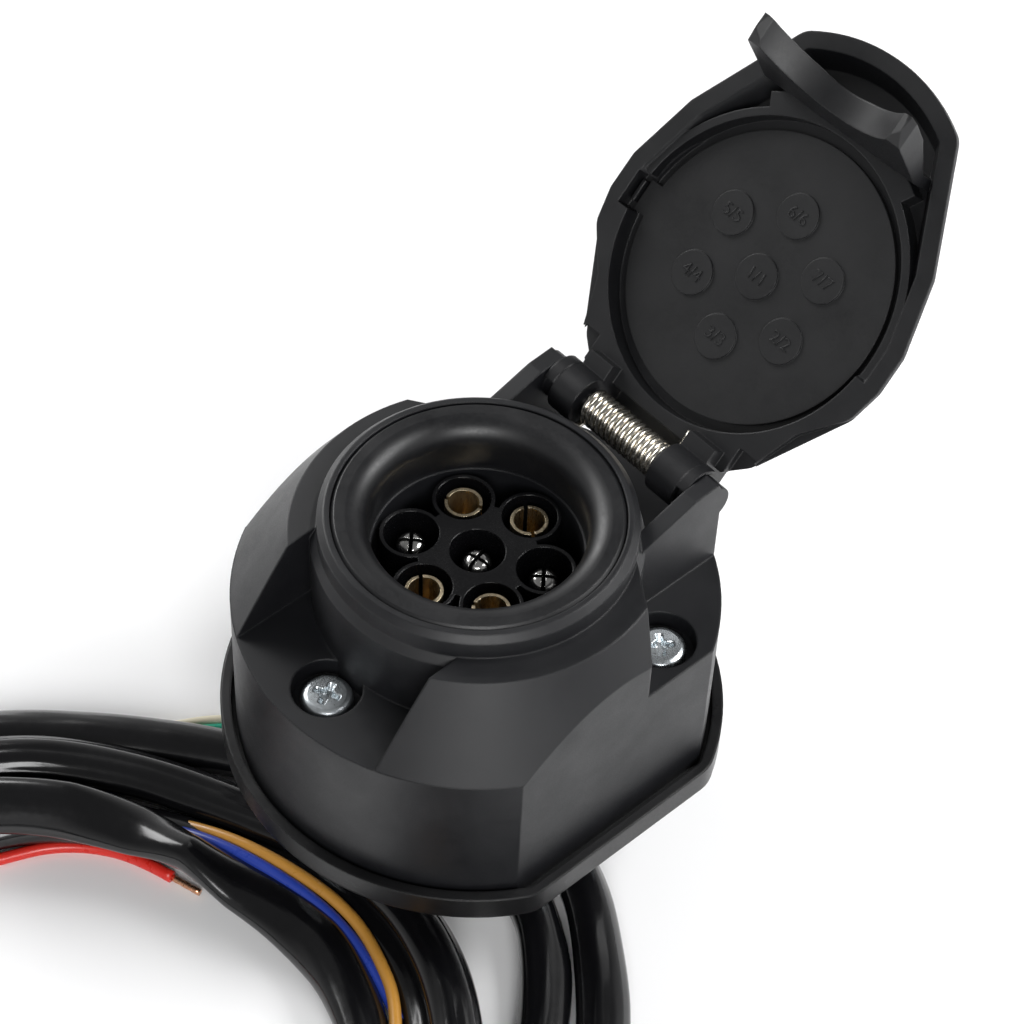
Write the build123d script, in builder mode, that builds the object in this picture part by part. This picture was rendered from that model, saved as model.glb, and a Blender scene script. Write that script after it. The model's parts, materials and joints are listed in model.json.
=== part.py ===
"""Seven-pole trailer socket with a sprung lid and a coiled wiring harness.

Frame: millimetres, +Z out of the plug mouth, +Y towards the lid's hinge, X along the
hinge. The origin is the centre of the three fixing studs, on the gasket's back face.
The lid stands open, tipped back past its hinge.
"""

import os
from math import cos, pi, radians, sin, tan

from build123d import *

os.makedirs("parts", exist_ok=True)

# ---------------------------------------------------------------- driving dimensions
# Housing
WALL_R = 41.1  # round stretches of the outer wall
WALL_FLAT_X = 35.3  # flat sides of the outer wall
WALL_T = 2.4
WALL_Z = 2.0  # lower edge of the wall, on the gasket's floor
SHELF_Z = 33.0  # pocket floors round the collar
LOBE_FOOT_R = 41.0
LOBE_TOP_R = 31.3
LOBE_TOP_Z = 47.8
BAND_TOP_Z = 48.0
LOBE_EDGE_R = 1.0
COLLAR_R = 26.4
COLLAR_FOOT_R = 27.5
COLLAR_NECK_Z = 46.5  # where the collar starts to draw in
COLLAR_Z = 52.5
COLLAR_EDGE_R = 1.1
POCKET_HALF_W = 17.6  # pocket in front of the collar
SIDE_WALL_Y = 29.2  # where the side pockets' wall, drawn on, crosses X = 0
SIDE_WALL_FALL = 0.643  # and how fast it falls towards each side

# Fixings: three M4 studs on a circle
STUD_R_C = 32.33
STUD_ANGLES = (30, 150, 270)
STUD_R = 2.0
STUD_END_Z = -10.8
SHANK_R = 1.76
STUD_HOLE_R = 2.25
COUNTERBORE_R = 5.9
HEAD_R = 4.35
HEAD_SEAT_Z = 29.2
HEAD_TOP_Z = 31.7
HEAD_DOME_R = 1.0
RECESS_SPAN = 4.4
RECESS_W = 1.0
RECESS_DEPTH = 1.5
RECESS_TAPER = 12
RECESS_TURN = 25  # the cross stands this far round from its stud's direction
BOSS_R = 7.2

# Mouth and contacts
SEAL_BORE_R = 24.3
SEAL_R = 24.2
SEAL_Z = 43.2
SEAL_CROWN_Z = 52.6
SEAL_EDGE_R = 0.6
SEAL_CROWN_R = 21.8  # where the crown starts to fall towards the throat
SEAL_FALL = (19.2, 51.5)  # a place on that fall
THROAT_R = 18.0
THROAT_TOP_Z = 48.4
CARRIER_R = 17.6
CARRIER_FLANGE_R = 22.0
CARRIER_FLANGE_Z = (25.0, 28.0)
CARRIER_BACK_Z = 18.0
CARRIER_SCREW_R_C = 19.8
CARRIER_SCREW_ANGLES = (0, 180)
CARRIER_SCREW_R = 1.15
CARRIER_SCREW_L = 9.0
CARRIER_SCREW_HOLE_R = 1.4
CARRIER_SCREW_HEAD_R = 2.1
CARRIER_SCREW_HEAD_L = 1.6
PILOT_R = 1.2
PILOT_L = 7.0
ISLAND_Z = 42.8
ISLAND_BOSS_R = 5.3
ANNULUS_FLOOR_Z = 30.5
CONTACT_R_C = 11.57
CONTACT_SEAT_Z = 24.0
CAVITY_R = 4.65
CONTACT_BASE_R = 3.3
CONTACT_BACK_Z = 11.0
TERMINAL_DEPTH = 5.5
TUBE_R = 3.2
TUBE_BORE_R = 2.65
TUBE_BOTTOM = 2.0  # thickness below the tube's bore
TUBE_Z = 41.8
TUBE_ANGLES = (90, 150, 270, 330)
PIN_R = 2.5
PIN_Z = 41.0
PIN_DOME_R = 1.6
SPLIT_W = 0.7
SPLIT_DEPTH = 8.5
TUBE_SPLIT_TURN = 60
PIN_SPLIT_TURN = 15
PIN_PLACES = ((CONTACT_R_C, 30), (CONTACT_R_C, 210), (0, 0))
TERMINAL_Z = 13.5
TERMINAL_SCREW_R = 1.25
TERMINAL_SCREW_L = 2.6

# Gasket and boot
GASKET_R = 43.8
GASKET_FLAT_X = 39.0
GASKET_LIP_T = 1.9
GASKET_LIP_Z = 5.0
GASKET_CORNER_R = 7.0
BOOT_HOLE_R = 8.0
BOOT_TIP_Z = -4.0
BOOT_TIP_R = 6.2
BOOT_FLANGE_R = 10.0
BOOT_FLANGE_Z = 4.5

# Hinge
HINGE_Y = 33.7
HINGE_Z = 47.0
LID_OPEN = 135  # degrees from closed
ARM_X = (17.4, 20.5)
ARM_PROFILE = ((17.8, 47.4), (29.5, 51.0), (34.7, 51.4), (35.6, 49.5))  # Y and Z
ARM_BOSS_X = 15.3
ARM_BOSS_R = 3.6
HINGE_PIN_R = 2.0
HINGE_PIN_HALF = 19.6
KNUCKLE_R = 4.6
KNUCKLE_X = ((-15.1, -9.8), (9.0, 15.1))
KNUCKLE_PLAY = 0.06
KNUCKLE_WEB_Y = 0.5
KNUCKLE_WEB_L = 8.0
HOOD_R = (4.0, 4.7)  # shell that covers an arm's boss
HOOD_X = 17.2
HOOD_TURNS = (176, 275)  # from straight out, as the lid stands closed
SPRING_X = (-9.0, 8.2)
SPRING_MEAN_R = 2.8
SPRING_WIRE_R = 0.6
SPRING_PITCH = 1.28

# Lid, at heights as it stands closed, and distances out from the hinge
LID_TOP_Z = 55.8
LID_FLOOR_Z = 54.2
LID_SIDE_Z = 51.0  # the sides lean in from here
LID_SIDE_TAPER = 33
LID_RIM_Z = 50.0
LID_RIM_T = 3.0
LID_CHANNEL_TAPER = 30
LID_RING_Z = 50.6
LID_RING_R = (27.0, 28.5)
LID_OUTLINE = (  # half widths and distances out
    (15.3, -0.5),
    (16.5, 4.5),
    (20.4, 8.0),
    (24.0, 17.5),
    (30.3, 24.8),
    (31.7, 31.0),
    (31.6, 38.0),
    (28.0, 51.0),
    (17.3, 71.4),
)
LID_END = 76.3
LID_CORNER_R = 4.0
LID_CORNER_FIRST_R = 1.5  # the two corners behind the hinge
LID_RELIEF_X = (17.1, 20.9)  # the rim stands clear of the arms
LID_RELIEF_OUT = (3.0, 9.8)
LID_RELIEF_Z = 51.4
LID_HINGE_RELIEF_OUT = (-1.0, 4.6)  # only the lid's plate reaches over the spring
LID_WELL_R = 26.8  # well round the seal disc, on the hinge's side
LID_CHANNEL_OUT = 31.0  # the open channel lies beyond this line
LID_RING_ENDS = (37.0, 29.0)  # the ring lies beyond the line through these, left and right
LID_STEP_R = 31.1  # step that carries the latch
LID_STEP_HALF_TURN = 32
SEAL_DISC_R = 25.0
SEAL_DISC_Z = 52.85
SEAL_PAD_R = 3.9
SEAL_PAD_STEP = 12.2
SEAL_PAD_H = 0.35
LUG_X = (-27.2, -24.0)  # the disc's lug
LUG_OUT = (30.0, 36.0)
LUG_Z = (52.85, 53.6)
LUG_PLAY = 0.3
LUG_GAP_X = -28.9  # the gap reaches past the lug, round a small hook
HOOK_X = (-28.3, -27.6)
HOOK_OUT = (31.2, 35.2)
HOOK_Z = 52.0
LATCH_SIDE = (  # the latch from its end: distances out, and heights
    (61.7, 54.2),
    (61.7, 46.8),
    (65.6, 35.0),
    (68.2, 33.5),
    (70.8, 34.0),
    (68.6, 40.4),
    (63.6, 47.9),
    (63.6, 54.2),
)
LATCH_HALF_W = 17.0
LATCH_FRONT = (  # its free edge from the front: half widths and heights
    (LATCH_HALF_W, 55.0),
    (LATCH_HALF_W, 35.4),
    (16.2, 33.6),
    (14.6, 34.4),
)
LATCH_ARCH_Z = 41.2

# Harness
SLEEVE_R = 4.2
FLOOR_Z = -21.0  # surface that the harness lies on
SLEEVE_Z = FLOOR_Z + SLEEVE_R
SLEEVE_TOP_Z = FLOOR_Z + 2 * SLEEVE_R
HARNESS_START_Z = 3.0
WIRE_R = 1.1
WIRE_PACK_R = 2.35  # wires round the middle one, inside the boot
WIRE_TOP_Z = 15.5
WIRE_COLOURS = ("blue", "white", "green", "brown", "red", "black", "yellow")
WIRE_BEND_Z = (9.0, 7.0)  # where the inner wires turn towards the boot and straighten again
LEAD_BEND = (7.4, 0.5)
LEAD_BEND_Z = -9.2
COIL_CENTRE = (1.0, -88.0)
COIL_UPPER_Z = -6.0  # where turns ride over each other


def write(piece, name):
    """Name a finished piece and write its STEP file."""
    piece.label = name
    export_step(piece, f"parts/{name}.step")


def polar(radius, angle, centre=(0.0, 0.0)):
    """A point on a circle in plan."""
    return (centre[0] + radius * cos(radians(angle)), centre[1] + radius * sin(radians(angle)))


def drum(radius, flat_x):
    """Sketch a disc with two flat sides."""
    Circle(radius)
    Rectangle(2 * flat_x, 2 * radius + 2, mode=Mode.INTERSECT)


def at_angles(radius, angles):
    """Locations on a circle at the given angles."""
    return Locations(*[polar(radius, angle) for angle in angles])


# ---------------------------------------------------------------- housing
SIDE_WALL_REACH = 60.0
side_wall_end_y = SIDE_WALL_Y - SIDE_WALL_FALL * SIDE_WALL_REACH

with BuildPart() as housing:
    # sloping lobes each side of the collar
    with BuildSketch(Plane.XZ):
        with BuildLine():
            Polyline(
                (0, SHELF_Z),
                (LOBE_FOOT_R, SHELF_Z),
                (LOBE_TOP_R, LOBE_TOP_Z),
                (COLLAR_FOOT_R, BAND_TOP_Z),
                (0, BAND_TOP_Z),
                close=True,
            )
        make_face()
    revolve(axis=Axis.Z)
    with BuildSketch(Plane.XY.offset(SHELF_Z)):
        Rectangle(2 * WALL_FLAT_X, 2 * WALL_R)
    extrude(amount=BAND_TOP_Z - SHELF_Z, mode=Mode.INTERSECT)
    # pocket in front of the collar
    with BuildSketch(Plane.XY.offset(SHELF_Z)):
        with Locations((0, -WALL_R)):
            Rectangle(2 * POCKET_HALF_W, 2 * WALL_R)
    extrude(amount=BAND_TOP_Z - SHELF_Z, mode=Mode.SUBTRACT)
    # side pockets and the space round the hinge
    with BuildSketch(Plane.XY.offset(SHELF_Z)):
        with BuildLine():
            Polyline(
                (0, SIDE_WALL_Y),
                (SIDE_WALL_REACH, side_wall_end_y),
                (SIDE_WALL_REACH, SIDE_WALL_REACH),
                (-SIDE_WALL_REACH, SIDE_WALL_REACH),
                (-SIDE_WALL_REACH, side_wall_end_y),
                close=True,
            )
        make_face()
    extrude(amount=BAND_TOP_Z - SHELF_Z, mode=Mode.SUBTRACT)
    # soften the lobes' edges
    fillet(housing.edges().filter_by(Axis.Z), radius=LOBE_EDGE_R)
    # wall and shelf
    with BuildSketch(Plane.XY.offset(WALL_Z)):
        drum(WALL_R, WALL_FLAT_X)
    extrude(amount=SHELF_Z - WALL_Z)
    # hollow inside of the wall
    with BuildSketch(Plane.XY.offset(WALL_Z)):
        drum(WALL_R - WALL_T, WALL_FLAT_X - WALL_T)
    extrude(amount=CARRIER_FLANGE_Z[1] - WALL_Z, mode=Mode.SUBTRACT)
    # fixing bosses
    with BuildSketch(Plane.XY.offset(WALL_Z)):
        with at_angles(STUD_R_C, STUD_ANGLES):
            Circle(BOSS_R)
    extrude(amount=SHELF_Z - WALL_Z)
    with BuildSketch(Plane.XY.offset(WALL_Z)):
        with at_angles(STUD_R_C, STUD_ANGLES):
            Circle(STUD_HOLE_R)
    extrude(amount=SHELF_Z - WALL_Z, mode=Mode.SUBTRACT)
    with BuildSketch(Plane.XY.offset(HEAD_SEAT_Z)):
        with at_angles(STUD_R_C, STUD_ANGLES):
            Circle(COUNTERBORE_R)
    extrude(amount=SHELF_Z - HEAD_SEAT_Z, mode=Mode.SUBTRACT)
    # collar, drawn in from its foot
    with BuildSketch(Plane.XZ):
        with BuildLine():
            Polyline(
                (0, HEAD_SEAT_Z),
                (COLLAR_FOOT_R, HEAD_SEAT_Z),
                (COLLAR_FOOT_R, COLLAR_NECK_Z),
                (COLLAR_R, BAND_TOP_Z),
                (COLLAR_R, COLLAR_Z - COLLAR_EDGE_R),
                (COLLAR_R - COLLAR_EDGE_R, COLLAR_Z),
                (0, COLLAR_Z),
                close=True,
            )
        make_face()
    revolve(axis=Axis.Z)
    # hinge arms, with bosses round the pin
    for side in (-1, 1):
        with BuildSketch(Plane.YZ.offset(min(side * ARM_X[0], side * ARM_X[1]))):
            with BuildLine():
                Polyline(
                    (ARM_PROFILE[0][0], SHELF_Z - 1),
                    *ARM_PROFILE,
                    (ARM_PROFILE[-1][0], SHELF_Z - 1),
                    close=True,
                )
            make_face()
        extrude(amount=ARM_X[1] - ARM_X[0])
        with BuildSketch(Plane.YZ.offset(min(side * ARM_BOSS_X, side * ARM_X[1]))):
            with Locations((HINGE_Y, HINGE_Z)):
                Circle(ARM_BOSS_R)
        extrude(amount=ARM_X[1] - ARM_BOSS_X)
    # bore for the contact carrier, and the wider bore for the mouth seal
    with BuildSketch(Plane.XY.offset(WALL_Z)):
        Circle(CARRIER_R + 0.05)
    extrude(amount=COLLAR_Z - WALL_Z, mode=Mode.SUBTRACT)
    with BuildSketch(Plane.XY.offset(SEAL_Z)):
        Circle(SEAL_BORE_R)
    extrude(amount=COLLAR_Z - SEAL_Z, mode=Mode.SUBTRACT)
    # pilot holes for the carrier's screws
    with BuildSketch(Plane.XY.offset(CARRIER_FLANGE_Z[1])):
        with at_angles(CARRIER_SCREW_R_C, CARRIER_SCREW_ANGLES):
            Circle(PILOT_R)
    extrude(amount=PILOT_L, mode=Mode.SUBTRACT)
    # hinge pin's holes, blind in both arms
    with BuildSketch(Plane.YZ.offset(-HINGE_PIN_HALF)):
        with Locations((HINGE_Y, HINGE_Z)):
            Circle(HINGE_PIN_R + 0.01)
    extrude(amount=2 * HINGE_PIN_HALF, mode=Mode.SUBTRACT)
write(housing.part, "housing")

# ---------------------------------------------------------------- mouth seal
with BuildPart() as mouth_seal:
    with BuildSketch(Plane.XZ):
        with BuildLine():
            Polyline(
                (THROAT_R, THROAT_TOP_Z),
                (THROAT_R, SEAL_Z),
                (SEAL_R, SEAL_Z),
                (SEAL_R, SEAL_CROWN_Z - SEAL_EDGE_R),
                (SEAL_R - SEAL_EDGE_R, SEAL_CROWN_Z),
                (SEAL_CROWN_R, SEAL_CROWN_Z),
            )
            ThreePointArc((SEAL_CROWN_R, SEAL_CROWN_Z), SEAL_FALL, (THROAT_R, THROAT_TOP_Z))
        make_face()
    revolve(axis=Axis.Z)
write(mouth_seal.part, "mouth_seal")

# ---------------------------------------------------------------- contact carrier
with BuildPart() as contact_carrier:
    with BuildSketch(Plane.XY.offset(CARRIER_BACK_Z)):
        Circle(CARRIER_R)
    extrude(amount=ANNULUS_FLOOR_Z - CARRIER_BACK_Z)
    with BuildSketch(Plane.XY.offset(CARRIER_FLANGE_Z[0])):
        Circle(CARRIER_FLANGE_R)
    extrude(amount=CARRIER_FLANGE_Z[1] - CARRIER_FLANGE_Z[0])
    # island of seven joined bosses
    with BuildSketch(Plane.XY.offset(ANNULUS_FLOOR_Z)):
        RegularPolygon(CONTACT_R_C, 6, rotation=30)
        with PolarLocations(CONTACT_R_C, 6, start_angle=30):
            Circle(ISLAND_BOSS_R)
    extrude(amount=ISLAND_Z - ANNULUS_FLOOR_Z)
    # cavities and the contacts' seats
    with BuildSketch(Plane.XY.offset(CONTACT_SEAT_Z)):
        Circle(CAVITY_R)
        with PolarLocations(CONTACT_R_C, 6, start_angle=30):
            Circle(CAVITY_R)
    extrude(amount=ISLAND_Z - CONTACT_SEAT_Z, mode=Mode.SUBTRACT)
    with BuildSketch(Plane.XY.offset(CARRIER_BACK_Z)):
        Circle(CONTACT_BASE_R + 0.05)
        with PolarLocations(CONTACT_R_C, 6, start_angle=30):
            Circle(CONTACT_BASE_R + 0.05)
    extrude(amount=CONTACT_SEAT_Z - CARRIER_BACK_Z, mode=Mode.SUBTRACT)
    with BuildSketch(Plane.XY.offset(CARRIER_FLANGE_Z[0])):
        with at_angles(CARRIER_SCREW_R_C, CARRIER_SCREW_ANGLES):
            Circle(CARRIER_SCREW_HOLE_R)
    extrude(amount=CARRIER_FLANGE_Z[1] - CARRIER_FLANGE_Z[0], mode=Mode.SUBTRACT)
write(contact_carrier.part, "contact_carrier")

with BuildPart() as carrier_screws:
    with BuildSketch(Plane.XY.offset(CARRIER_FLANGE_Z[0] - CARRIER_SCREW_HEAD_L)):
        with at_angles(CARRIER_SCREW_R_C, CARRIER_SCREW_ANGLES):
            Circle(CARRIER_SCREW_HEAD_R)
    extrude(amount=CARRIER_SCREW_HEAD_L)
    with BuildSketch(Plane.XY.offset(CARRIER_FLANGE_Z[0])):
        with at_angles(CARRIER_SCREW_R_C, CARRIER_SCREW_ANGLES):
            Circle(CARRIER_SCREW_R)
    extrude(amount=CARRIER_SCREW_L)
write(carrier_screws.part, "carrier_screws")


# ---------------------------------------------------------------- contacts
# name, distance and direction from the axis, and whether it is a tube
contacts = [
    (f"contact_tube_{number}", CONTACT_R_C, angle, True)
    for number, angle in enumerate(TUBE_ANGLES, start=1)
]
contacts += [
    (f"contact_pin_{number}", radius, angle, False)
    for number, (radius, angle) in enumerate(PIN_PLACES, start=1)
]

for name, radius, angle, is_tube in contacts:
    x, y = polar(radius, angle)
    with BuildPart() as contact:
        # turned base and terminal
        with BuildSketch(Plane((x, y, CONTACT_BACK_Z))):
            Circle(CONTACT_BASE_R)
        extrude(amount=CONTACT_SEAT_Z - CONTACT_BACK_Z)
        with BuildSketch(Plane((x, y, CONTACT_BACK_Z))):
            Circle(WIRE_R + 0.1)
        extrude(amount=TERMINAL_DEPTH, mode=Mode.SUBTRACT)
        with BuildSketch(Plane((x, y, TERMINAL_Z), z_dir=(*polar(1, angle), 0))):
            Circle(TERMINAL_SCREW_R + 0.05)
        extrude(amount=2 * CONTACT_BASE_R, mode=Mode.SUBTRACT)
        if is_tube:
            with BuildSketch(Plane((x, y, CONTACT_SEAT_Z))):
                Circle(TUBE_R)
            extrude(amount=TUBE_Z - CONTACT_SEAT_Z)
            with BuildSketch(Plane((x, y, CONTACT_SEAT_Z + TUBE_BOTTOM))):
                Circle(TUBE_BORE_R)
            extrude(amount=TUBE_Z - CONTACT_SEAT_Z - TUBE_BOTTOM, mode=Mode.SUBTRACT)
            with BuildSketch(Plane((x, y, TUBE_Z - SPLIT_DEPTH))):
                Rectangle(3 * CONTACT_BASE_R, SPLIT_W, rotation=angle + TUBE_SPLIT_TURN)
            extrude(amount=SPLIT_DEPTH, mode=Mode.SUBTRACT)
        else:
            with BuildSketch(Plane((x, y, CONTACT_SEAT_Z))):
                Circle(PIN_R)
            extrude(amount=PIN_Z - CONTACT_SEAT_Z)
            fillet(contact.edges().group_by(Axis.Z)[-1], radius=PIN_DOME_R)
            with BuildSketch(Plane((x, y, PIN_Z - SPLIT_DEPTH))):
                Rectangle(3 * PIN_R, SPLIT_W, rotation=angle + PIN_SPLIT_TURN)
                Rectangle(SPLIT_W, 3 * PIN_R, rotation=angle + PIN_SPLIT_TURN)
            extrude(amount=SPLIT_DEPTH, mode=Mode.SUBTRACT)
    write(contact.part, name)

with BuildPart() as terminal_screws:
    for name, radius, angle, is_tube in contacts:
        outward = polar(1, angle)
        start = (*polar(radius + WIRE_R + 0.2, angle), TERMINAL_Z)
        with BuildSketch(Plane(start, z_dir=(*outward, 0))):
            Circle(TERMINAL_SCREW_R)
        extrude(amount=TERMINAL_SCREW_L)
write(terminal_screws.part, "terminal_screws")

# ---------------------------------------------------------------- gasket and boot
with BuildPart() as rear_gasket:
    with BuildSketch():
        drum(GASKET_R, GASKET_FLAT_X)
    extrude(amount=GASKET_LIP_Z)
    fillet(rear_gasket.edges().filter_by(Axis.Z), radius=GASKET_CORNER_R)
    with BuildSketch(Plane.XY.offset(WALL_Z)):
        drum(GASKET_R - GASKET_LIP_T, GASKET_FLAT_X - GASKET_LIP_T)
    extrude(amount=GASKET_LIP_Z - WALL_Z, mode=Mode.SUBTRACT)
    with BuildSketch():
        Circle(BOOT_HOLE_R)
        with at_angles(STUD_R_C, STUD_ANGLES):
            Circle(STUD_HOLE_R)
    extrude(amount=WALL_Z, mode=Mode.SUBTRACT)
write(rear_gasket.part, "rear_gasket")

with BuildPart() as cable_boot:
    with BuildSketch(Plane.XZ):
        with BuildLine():
            Polyline(
                (SLEEVE_R + 0.1, BOOT_TIP_Z),
                (BOOT_TIP_R, BOOT_TIP_Z),
                (BOOT_HOLE_R - 0.1, 0),
                (BOOT_HOLE_R - 0.1, WALL_Z),
                (BOOT_FLANGE_R, WALL_Z),
                (BOOT_FLANGE_R, BOOT_FLANGE_Z),
                (SLEEVE_R + 0.1, BOOT_FLANGE_Z),
                close=True,
            )
        make_face()
    revolve(axis=Axis.Z)
write(cable_boot.part, "cable_boot")

# ---------------------------------------------------------------- fixing screws
with BuildPart() as fixing_screws:
    for angle in STUD_ANGLES:
        x, y = polar(STUD_R_C, angle)
        with BuildSketch(Plane((x, y, STUD_END_Z))):
            Circle(STUD_R)
        extrude(amount=-STUD_END_Z)
        with BuildSketch(Plane((x, y, 0))):
            Circle(SHANK_R)
        extrude(amount=HEAD_SEAT_Z)
        with BuildSketch(Plane((x, y, HEAD_SEAT_Z))):
            Circle(HEAD_R)
        extrude(amount=HEAD_TOP_Z - HEAD_SEAT_Z)
        # cross recess
        with BuildSketch(Plane((x, y, HEAD_TOP_Z))):
            Rectangle(RECESS_SPAN, RECESS_W, rotation=angle + RECESS_TURN)
            Rectangle(RECESS_W, RECESS_SPAN, rotation=angle + RECESS_TURN)
        extrude(amount=-RECESS_DEPTH, taper=RECESS_TAPER, mode=Mode.SUBTRACT)
    fillet(fixing_screws.edges().filter_by(GeomType.CIRCLE).group_by(Axis.Z)[-1], radius=HEAD_DOME_R)
write(fixing_screws.part, "fixing_screws")

# ---------------------------------------------------------------- hinge pin and spring
hinge_plane = Plane((0, HINGE_Y, HINGE_Z), x_dir=(0, 1, 0), z_dir=(1, 0, 0))

with BuildPart() as hinge_pin:
    with BuildSketch(hinge_plane.offset(-HINGE_PIN_HALF)):
        Circle(HINGE_PIN_R)
    extrude(amount=2 * HINGE_PIN_HALF)
write(hinge_pin.part, "hinge_pin")

with BuildPart() as lid_spring:
    with BuildLine():
        coil_line = Helix(
            SPRING_PITCH,
            SPRING_X[1] - SPRING_X[0],
            SPRING_MEAN_R,
            center=(SPRING_X[0], HINGE_Y, HINGE_Z),
            direction=(1, 0, 0),
        )
    with BuildSketch(Plane(coil_line @ 0, z_dir=coil_line % 0)):
        Circle(SPRING_WIRE_R)
    sweep(path=coil_line, is_frenet=True)
write(lid_spring.part, "lid_spring")

# ---------------------------------------------------------------- lid
# the lid is drawn closed, on planes that stand in its own frame, tipped open about the pin
open_turn = radians(LID_OPEN)
lid_outward = (0, sin(open_turn), cos(open_turn))


def lid_plane(closed_z):
    """A plane of the open lid, by the height that it has when the lid is closed."""
    level = Plane((0, HINGE_Y, HINGE_Z), x_dir=(1, 0, 0), z_dir=lid_outward)
    return level.offset(closed_z - HINGE_Z)


lid_corners = [(half, -out) for half, out in LID_OUTLINE]
lid_waist = lid_corners[3][1]
disc_centre = (0, -HINGE_Y)
OUTER_END = 270  # direction of the lid's far end, about the disc's centre

# the rim is drawn in at the waist, and the skin behind it isn't
outlines = []
for skipped in (None, lid_waist):
    right_side = [place for place in lid_corners if place[1] != skipped]
    left_side = [(-x, y) for x, y in reversed(right_side)]
    with BuildSketch() as outline:
        with BuildLine():
            Polyline(*right_side)
            ThreePointArc(right_side[-1], (0, -LID_END), left_side[0])
            Polyline(*left_side, right_side[0])
        make_face()
        fillet(outline.vertices().group_by(Axis.Y)[-1], radius=LID_CORNER_FIRST_R)
        far_vertices = outline.vertices().filter_by_position(Axis.Y, -LID_END, -LID_OUTLINE[2][1])
        fillet(far_vertices, radius=LID_CORNER_R)
    outlines.append(outline.sketch)
rim_outline, skin_outline = outlines

with BuildSketch() as lid_channel:
    add(rim_outline)
    offset(amount=-LID_RIM_T, mode=Mode.REPLACE)
    with Locations((0, -LID_CHANNEL_OUT)):
        Rectangle(4 * WALL_R, 4 * WALL_R, align=(Align.CENTER, Align.MAX), mode=Mode.INTERSECT)

with BuildSketch() as lid_ring:
    with Locations(disc_centre):
        Circle(LID_RING_R[1])
        Circle(LID_RING_R[0], mode=Mode.SUBTRACT)
    with BuildLine():
        Polyline(
            (-LID_RING_R[1], -LID_RING_ENDS[0]),
            (LID_RING_R[1], -LID_RING_ENDS[1]),
            (LID_RING_R[1], -LID_END),
            (-LID_RING_R[1], -LID_END),
            close=True,
        )
    make_face(mode=Mode.INTERSECT)


def sector(radii, half_turn):
    """Line of a ring's sector about the disc's centre, towards the lid's far end."""
    inner, outer = radii
    turns = (OUTER_END - half_turn, OUTER_END, OUTER_END + half_turn)
    inside = [polar(inner, turn, disc_centre) for turn in turns]
    outside = [polar(outer, turn, disc_centre) for turn in turns]
    near = Edge.make_three_point_arc(*inside)
    far = Edge.make_three_point_arc(*outside)
    ends = [Edge.make_line(inside[k], outside[k]) for k in (0, 2)]
    return Wire([near, ends[1], far, ends[0]])


def closed_box(across, out, heights):
    """A box by its sides, its distances out from the hinge and its heights, on the closed lid."""
    base = lid_plane(heights[0])
    corner = base.from_local_coords((across[0], -out[1], 0))
    sides = Box(
        across[1] - across[0],
        out[1] - out[0],
        heights[1] - heights[0],
        align=Align.MIN,
        mode=Mode.PRIVATE,
    )
    return Plane(corner, x_dir=base.x_dir, z_dir=base.z_dir) * sides


with BuildPart() as latch:
    # extruded from its end, then cut to its arched front
    with BuildSketch(Plane.YZ.offset(-LATCH_HALF_W)):
        with BuildLine():
            Polyline(*[(HINGE_Y - out, height) for out, height in LATCH_SIDE], close=True)
        make_face()
    extrude(amount=2 * LATCH_HALF_W)
    with BuildSketch(Plane.XZ.offset(-HINGE_Y)):
        with BuildLine():
            right_half = [(half, height) for half, height in LATCH_FRONT]
            left_half = [(-half, height) for half, height in reversed(LATCH_FRONT)]
            Polyline(*left_half, *right_half)
            ThreePointArc(right_half[-1], (0, LATCH_ARCH_Z), left_half[0])
        make_face()
    extrude(amount=LID_END, mode=Mode.INTERSECT)

open_latch = latch.part.rotate(Axis((0, HINGE_Y, HINGE_Z), (1, 0, 0)), -LID_OPEN)
lug_gap_x = (LUG_GAP_X, LUG_X[1])
lug_gap_out = (LUG_OUT[0] - LUG_PLAY, LUG_OUT[1] + LUG_PLAY)
hood_turns = (HOOD_TURNS[0] - LID_OPEN, sum(HOOD_TURNS) / 2 - LID_OPEN, HOOD_TURNS[1] - LID_OPEN)

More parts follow.
